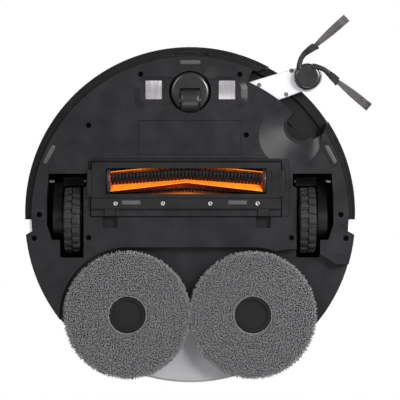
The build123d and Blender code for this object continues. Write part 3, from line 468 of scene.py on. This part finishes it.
def mop_loops(side, cloth):
    """The loops of pile on a mop's underside, and the short fringe at its two edges."""
    low, high = box_mm("mop_pad_" + side)
    centre = middle("mop_pad_" + side)
    outer = (high.x - low.x) / 2 + PILE_REACH
    shape = Shape()
    radius = MOP_HOLE + 1.6
    while radius < outer - 3.0:
        count = int(TAU * radius / LOOP_PITCH)
        start = random.random()
        for index in range(count):
            turn = TAU * (index + start) / count
            foot = around(centre, radius + jitter(0.5), turn + jitter(0.35) / radius, 0)
            lean = turn + math.pi * noise.noise(foot * 0.16 + Vector((0, 0, 7))) * 1.6 + jitter(0.9)
            along = Vector((math.cos(lean), math.sin(lean), 0)) * random.uniform(0.75, 1.25)
            edge = max(0.0, radius - (outer - 4.5)) * 0.55 + max(0.0, MOP_HOLE + 4.0 - radius) * 0.5
            base = low.z + 2.1 + edge
            peak = random.uniform(1.0, 1.5)
            path = []
            for k in (-2, -1, 0, 1, 2):
                tuck = 0.3 if abs(k) == 2 else 0
                path.append(foot + along * (k / 2) + UP * (base - peak * (1 - k * k / 4) + tuck))
            shape.tube(path, [LOOP_YARN * 0.8, LOOP_YARN, LOOP_YARN * 1.1, LOOP_YARN, LOOP_YARN * 0.8])
        radius += LOOP_PITCH
    for rim, outward, count in ((outer - CLOTH_INSET, 1, OUTER_FRINGE), (MOP_HOLE + 1.9, -1, INNER_FRINGE)):
        for index in range(count):
            turn = TAU * index / count + jitter(0.004)
            reach = random.uniform(1.6, 3.9) if outward > 0 else random.uniform(0.8, 1.4)
            height = random.uniform(low.z + 1.6, high.z - 1.4) if outward > 0 else random.uniform(1.6, 4.5)
            bend = jitter(0.02) * (1 if outward > 0 else 2)
            path = [around(centre, rim + outward * reach * k / 2, turn + bend * k * k / 4, height - 0.18 * k * k)
                    for k in (0, 1, 2)]
            shape.tube(path, [0.7, 0.6, 0.3], sides=3)
    return shape.made("mop_pile_" + side, FABRIC, "mop_" + side, "mop_fabric")


for side in ("right", "left"):
    mop_loops(side, mop_cloth(side))

# ---------------------------------------------------------------- main brush
CORE_TUBE = 12.0  # radius of the core between its end flanges
TIP_R = 20.7  # radius at the tips of fins and bristles
ROWS = 6
FIRST_FIN = 176.0  # degrees about +X, from straight up, of the first fin's tip at the middle
TWIST = -28.0  # degrees that a row turns from the middle to an end
FIN_LEAN = 9.0  # degrees that a fin's root trails its tip
TUFT_ROOT = 11.0  # degrees that a tuft trails its fin's tip, at its root and at its own tip
TUFT_TIP = 46.0
END_SPREAD = 9.0  # degrees more at the ends of the brush
brush_low, brush_high = box_mm("brush_fins")
brush_mid = middle("brush_core")
ROW_HALF = (brush_high.x - brush_low.x) / 2 - 0.3
ROW_MIDDLE = (brush_high.x + brush_low.x) / 2
FLANGE_HALF = 84.0  # from the middle of the brush to a flange's outer face
FIN_STATIONS = 49
TUFT_PITCH = 3.7
TUFT_STRANDS = 16
RING_STEPS = 96


def on_roller(x, radius, degrees):
    """A point round the main brush's axis."""
    turn = math.radians(degrees)
    y, z = -radius * math.sin(turn), radius * math.cos(turn)
    return Vector((ROW_MIDDLE + x, brush_mid.y + y, brush_mid.z + z))


def fins():
    """Soft blades that run in a V from end to end of the brush, thin at the tip."""
    shape = Shape()
    for row in range(ROWS):
        middle_turn = FIRST_FIN + row * 360 / ROWS
        rings = []
        for station in range(FIN_STATIONS):
            x = ROW_HALF * (2 * station / (FIN_STATIONS - 1) - 1)
            turn = middle_turn + TWIST * abs(x) / ROW_HALF
            wave = 0.12 * math.sin(x * 0.9)
            front, back = [], []
            tip = TIP_R + wave
            for radius, half, lean in ((CORE_TUBE - 0.6, 1.5, 1.0), (13.2, 1.0, 0.8), (16.0, 0.7, 0.5),
                                       (18.6, 0.5, 0.2), (tip - 0.3, 0.4, 0.0), (tip, 0.2, 0.0)):
                spread = math.degrees(half / radius)
                front.append(on_roller(x, radius, turn + FIN_LEAN * lean - spread))
                back.append(on_roller(x, radius, turn + FIN_LEAN * lean + spread))
            rings.append(front + back[::-1])
        shape.skin(rings)
    return shape.made("roller_fins", FIN, "roller", "orange_rubber", ["brush_fins"])


def tufts():
    """Rows of bristle tufts, each narrow where it is planted and spreading to its neighbours at the tip."""
    shape = Shape()
    count = int(2 * ROW_HALF / TUFT_PITCH)
    for row in range(ROWS):
        for index in range(count):
            x = TUFT_PITCH * (index - (count - 1) / 2)
            turn = FIRST_FIN + row * 360 / ROWS + TWIST * abs(x) / ROW_HALF
            sweep = TUFT_TIP + END_SPREAD * abs(x) / ROW_HALF - TUFT_ROOT
            path = [on_roller(x, radius, turn + TUFT_ROOT + sweep * part)
                    for radius, part in ((CORE_TUBE - 0.5, 0.0), (14.3, 0.28), (17.4, 0.64), (20.2, 0.98))]
            shape.tube(path, [0.9, 1.0, 0.9, 0.5], [1.0, 1.4, 1.9, 1.8], sides=6, up=Vector((1, 0, 0)))
            for strand in range(TUFT_STRANDS):
                root_x, root_turn = jitter(0.8), jitter(3.2)
                tip_x, tip_turn = jitter(2.0), jitter(5.5)
                reach = random.uniform(19.6, TIP_R)
                path = []
                for part in (0.0, 0.35, 0.7, 1.0):
                    radius = CORE_TUBE - 0.4 + (reach - CORE_TUBE + 0.4) * part
                    lean = TUFT_ROOT + sweep * part ** 1.15
                    path.append(on_roller(x + root_x + (tip_x - root_x) * part, radius,
                                          turn + lean + root_turn + (tip_turn - root_turn) * part))
                shape.tube(path, [0.22, 0.22, 0.2, 0.12], sides=3)
    return shape.made("roller_bristles", BRISTLE, "roller", "black_bristle", ["brush_bristles"])


def end_rings():
    """Dark rubber rings round the brush's end flanges."""
    shape = Shape()
    for outer_x, inward in ((FLANGE_HALF, -1), (-FLANGE_HALF, 1)):
        section = [(outer_x + inward * x, r) for x, r in ((-0.2, 18.2), (-0.2, 19.7), (0.3, 20.2), (3.0, 20.2),
                                                          (3.4, 19.7), (3.4, 18.2))]
        rings = [[on_roller(x, r, 360 * step / RING_STEPS) for x, r in section] for step in range(RING_STEPS)]
        shape.skin(rings, closed=True)
    return shape.made("flange_rings", LEG, "roller", "tyre_rubber")


fins()
tufts()
end_rings()

# ---------------------------------------------------------------- tyres
TREAD_COUNT = 20  # blocks in each row
TREAD_BASE = 32.1  # radius between the blocks
TYRE_STEPS = 120


def tyre(side):
    """A rubber tyre with two staggered rows of stepped blocks."""
    node = "tyre_" + side
    low, high = box_mm(node)
    centre = middle(node)
    half = (high.x - low.x) / 2
    outer = (high.z - low.z) / 2
    shape = Shape()

    def spot(x, radius, degrees):
        """A point round the wheel's axis."""
        turn = math.radians(degrees)
        return Vector((centre.x + x, centre.y + radius * math.sin(turn), centre.z + radius * math.cos(turn)))

    section = [(-half + 0.9, 27.1), (half - 0.9, 27.1), (half, 28.0), (half, 30.4), (half - 0.8, 31.6),
               (half - 2.2, TREAD_BASE), (0.5, TREAD_BASE), (0.0, TREAD_BASE - 0.5), (-0.5, TREAD_BASE),
               (-half + 2.2, TREAD_BASE), (-half + 0.8, 31.6), (-half, 30.4), (-half, 28.0)]
    rings = [[spot(x, r, 360 * step / TYRE_STEPS) for x, r in section] for step in range(TYRE_STEPS)]
    shape.skin(rings, closed=True)
    pitch = 360 / TREAD_COUNT
    for row in (-1, 1):
        for index in range(TREAD_COUNT):
            turn = pitch * (index + (0.5 if row > 0 else 0.0))
            for inner, outer_x, wide, base, top in ((0.35, half - 0.15, 5.7, TREAD_BASE - 1.2, outer - 0.9),
                                                    (0.6, half - 0.6, 3.6, outer - 1.0, outer)):
                rings = []
                for x, shrink in ((inner, 0.25), (inner + 0.4, 0.0), (outer_x - 0.7, 0.0), (outer_x, 0.5)):
                    skew = 1.6 * x / half
                    rings.append([spot(row * x, radius, turn + skew + edge)
                                  for radius, edge in ((base, -wide), (top - shrink - 0.25, -wide + 0.3),
                                                       (top - shrink, -wide + 0.9), (top - shrink, wide - 0.9),
                                                       (top - shrink - 0.25, wide - 0.3), (base, wide))])
                shape.skin(rings)
    return shape.made("tread_" + side, TYRE, "wheel_" + side, "tyre_rubber", [node], smooth=False)


for side in ("right", "left"):
    tyre(side)

# ---------------------------------------------------------------- side brush
LEG_LEVEL = 9.25  # heights above the floor
CLAMP_LEVEL = 8.0
HOOK_LEVEL = 8.2
ROOT_LEVEL = 7.6
BRISTLE_LEVEL = 5.2
BRISTLE_COLUMNS = 26
BRISTLE_LAYERS = 7


def level_path(points, height):
    """Points of the plan at one height."""
    return [Vector((x, y, height)) for x, y in points]


# the two legs in plan, with the arm at rest: the legs' middle lines, their clamps, the stubs on
# the clamps, and the middles of the bristle tips
LEG_PATHS = (
    ((-115.6, 154.2), (-115.4, 157.2), (-115.7, 160.0), (-117.2, 165.2), (-120.0, 169.6), (-123.6, 173.0)),
    ((-129.4, 157.5), (-132.6, 157.2), (-136.5, 156.2), (-141.4, 154.2), (-144.9, 151.6), (-147.4, 149.2)),
)
CLAMPS = (
    ((-123.2, 172.6), (-126.4, 174.9), (-131.6, 178.4)),
    ((-147.0, 149.6), (-150.0, 146.8), (-155.4, 141.7)),
)
HOOKS = (((-133.3, 176.3), (-135.5, 177.8)), ((-153.8, 140.2), (-154.5, 137.6)))
TIPS = ((-165.2, 208.2), (-189.0, 113.9))


def side_brush():
    """Curved rubber legs with a clamp and a locating stub at each end."""
    shape = Shape()
    for path, clamp, hook in zip(LEG_PATHS, CLAMPS, HOOKS):
        shape.tube(level_path(path, LEG_LEVEL), [3.1, 2.9, 2.7, 2.7, 2.9, 3.4], [2.4] * 6, sides=16)
        shape.tube(level_path(clamp, CLAMP_LEVEL), [4.2, 5.3, 5.7], [3.0, 3.9, 3.9], sides=4)
        shape.tube(level_path(hook, HOOK_LEVEL), [1.6, 1.9], [2.4, 2.4], sides=12)
        end, before = (Vector((*clamp[k], CLAMP_LEVEL)) for k in (2, 1))
        way = (end - before).normalized()
        shape.tube([end, end + way * 1.2], [2.7, 2.3], [3.2, 3.0], sides=12)
    return shape.made("side_brush_arms", LEG, "side_brush", "tyre_rubber", ["side_brush_legs"], smooth=False)


def side_bristles():
    """A flat bundle of bristles from each clamp, straight and spreading a little."""
    shape = Shape()
    for clamp, tip in zip(CLAMPS, TIPS):
        start = Vector((*clamp[2], ROOT_LEVEL))
        end = Vector((*tip, BRISTLE_LEVEL - 1.0))
        way = (end - start).normalized()
        across = way.cross(UP).normalized()
        start = start - way * 1.0
        for column in range(BRISTLE_COLUMNS):
            for layer in range(BRISTLE_LAYERS):
                u = (column + 0.5) / BRISTLE_COLUMNS * 2 - 1 + jitter(0.03)
                v = (layer + 0.5) / BRISTLE_LAYERS * 2 - 1 + jitter(0.1)
                last = end + across * (u * 4.5) + UP * (v * 2.7) + way * jitter(0.25)
                first = start + across * (u * 1.9) + UP * (v * 1.9)
                path = []
                for part in (0.0, 0.25, 0.5, 0.75, 1.0):
                    bulge = 0.9 * math.sin(math.pi * part) * u
                    path.append(first.lerp(last, part) + across * bulge)
                shape.tube(path, [0.2, 0.22, 0.22, 0.21, 0.18], sides=4)
    return shape.made("side_bristle_fans", BRUSH_FIBRE, "side_brush", "black_bristle", ["side_brush_bristles"])


side_brush()
side_bristles()

# ---------------------------------------------------------------- small fittings under the body
CROSS_ARM = 0.64  # length and half width of a cross recess's arms, against the head's radius
CROSS_WIDTH = 0.24
SCREW_STEPS = 64
COVER_SCREWS = 4


def cross_radius(turn):
    """How far the outline of a cross recess is from its middle in one direction."""
    turn = (turn + math.pi / 4) % (math.pi / 2) - math.pi / 4
    return min(CROSS_ARM / math.cos(turn), CROSS_WIDTH / max(abs(math.sin(turn)), 1e-3))


def screw_heads(name, node, spots, face, back, radius, paint, body, slot_name, twist=0.4):
    """Cross-recessed screws that face down, each turned its own way."""
    shape = Shape()
    for place in spots:
        centre = Vector((*place, 0))
        phase = random.uniform(-twist, twist)

        def ring(reach, height):
            """A ring of the head; below zero, reach is a share of the cross recess's outline."""
            points = []
            for step in range(SCREW_STEPS):
                turn = TAU * step / SCREW_STEPS
                share = cross_radius(turn) * -reach if reach < 0 else reach
                points.append(around(centre, radius * share, turn + phase, height))
            return points

        depth = (back - face) * 0.6
        shape.skin([ring(-0.1, face + depth), ring(-0.75, face + depth * 0.9), ring(-1.0, face + 0.02),
                    ring(0.8, face), ring(0.93, face + 0.12), ring(1.0, face + 0.42), ring(1.0, back)])
    return shape.made(name, paint, body, slot_name, [node])


low, high = box_mm("brush_cover_screws")
HEAD_R = (high.y - low.y) / 2
SCREW_ROW = high.x - low.x - 2 * HEAD_R  # from the first screw to the last
cover_screws = [(low.x + HEAD_R + SCREW_ROW * index / (COVER_SCREWS - 1), (low.y + high.y) / 2)
                for index in range(COVER_SCREWS)]
screw_heads("cover_screw_heads", "brush_cover_screws", cover_screws, low.z, high.z, HEAD_R - 0.05, STEEL,
            "brush_door", "steel", twist=0.8)


PAD_LENGTH = 19.6
STUD_COLUMNS = 17
STUD_ROWS = 4


def grip_pads():
    """Grey pads with rows of small square studs."""
    low, high = box_mm("brush_grip_pads")
    shape = Shape()
    length, depth = PAD_LENGTH, high.y - low.y - 0.1
    y = (low.y + high.y) / 2
    for x in (low.x + length / 2 + 0.1, high.x - length / 2 - 0.1):
        plate = [(x - length / 2, y - depth / 2), (x + length / 2, y - depth / 2),
                 (x + length / 2, y + depth / 2), (x - length / 2, y + depth / 2)]
        shape.skin([[Vector((*p, z)) for p in plate] for z in (low.z + 0.5, high.z)])
        for column in range(STUD_COLUMNS):
            for row in range(STUD_ROWS):
                spot = Vector((x + length * ((column + 0.5) / STUD_COLUMNS - 0.5),
                               y + depth * ((row + 0.5) / STUD_ROWS - 0.5), 0))
                rings = []
                for half, z in ((0.42, low.z + 0.55), (0.36, low.z + 0.12), (0.22, low.z)):
                    rings.append([spot + Vector((a * half, b * half, z))
                                  for a, b in ((-1, -1), (1, -1), (1, 1), (-1, 1))])
                shape.skin(rings)
    return shape.made("grip_studs", GREY, "brush_door", "grey_plastic", ["brush_grip_pads"], smooth=False)


grip_pads()


def painted_seam_shadows():
    """Thin near-black sheets of painted shadow that fill the joints round the brush cover and the battery door.
    """
    shape = Shape()
    for node, wide, level, lift in (("brush_cover", 1.2, 11.75, 0.35), ("battery_cover", 0.4, 11.95, 0.2)):
        low, high = box_mm(node)
        rings = []
        for gap, z in ((0.0, level), (wide, level), (wide, level + lift), (0.0, level + lift)):
            rings.append([Vector((x, y, z)) for x, y in (
                (low.x - gap, low.y - gap), (high.x + gap, low.y - gap), (high.x + gap, high.y + gap),
                (low.x - gap, high.y + gap))])
        shape.skin(rings, closed=True)
    return shape.made("seam_shadow_sheets", SHADOW_BLACK, "chassis", "black_inner", smooth=False)


def mouth_cheeks():
    """The bowed caps that hold the main brush's bearings at both ends of the mouth."""
    face = box_mm("brush_cover")[0].z
    flange_low, flange_high = box_mm("brush_core")
    shape = Shape()
    for edge, outward in ((flange_high.x + 1.6, 1), (flange_low.x - 1.6, -1)):
        rings = []
        for step in range(13):
            part = step / 12 * 2 - 1
            y = brush_mid.y - 2.5 + part * 13.2
            bow = 1.0 * (1 - part * part)
            rings.append([Vector((edge + outward * (x + bow * side), y, z)) for x, side, z in (
                (0.0, 0, face + 0.9), (0.3, 0, face - 0.35), (3.6, 1, face - 0.35), (4.3, 1, face + 0.1),
                (4.3, 1, face + 0.9))])
        shape.skin(rings)
        for end in (-1, 1):
            y = brush_mid.y - 2.5 + end * 13.6
            rod = [Vector((edge + outward * reach, y, face + 0.2)) for reach in (0.6, 4.6)]
            shape.tube(rod, [0.9, 0.9], [0.8, 0.8], sides=8)
    return shape.made("mouth_cheeks", DARK_FINE, "brush_door", "dark_shell", smooth=False)


def sensor_lenses():
    """A rounded pale bar behind each cliff sensor window."""
    shape = Shape()
    low, high = box_mm("cliff_windows")
    side_y = low.y + 14.0
    turns = (((0.0, high.y - 4.0), 0.0), ((high.x - 7.6, side_y), -62.0), ((low.x + 7.6, side_y), 62.0))
    for place, degrees in turns:
        way = Vector((math.cos(math.radians(degrees)), math.sin(math.radians(degrees)), 0))
        centre = Vector((*place, low.z + 0.12))
        path = [centre + way * reach for reach in (-11.0, -10.2, -8.5, 8.5, 10.2, 11.0)]
        shape.tube(path, [0.5, 1.6, 2.2, 2.2, 1.6, 0.5], [0.12, 0.3, 0.36, 0.36, 0.3, 0.12], sides=20)
    return shape.made("cliff_lenses", PALE_LENS, "chassis", "dark_gloss")


painted_seam_shadows()
mouth_cheeks()
sensor_lenses()
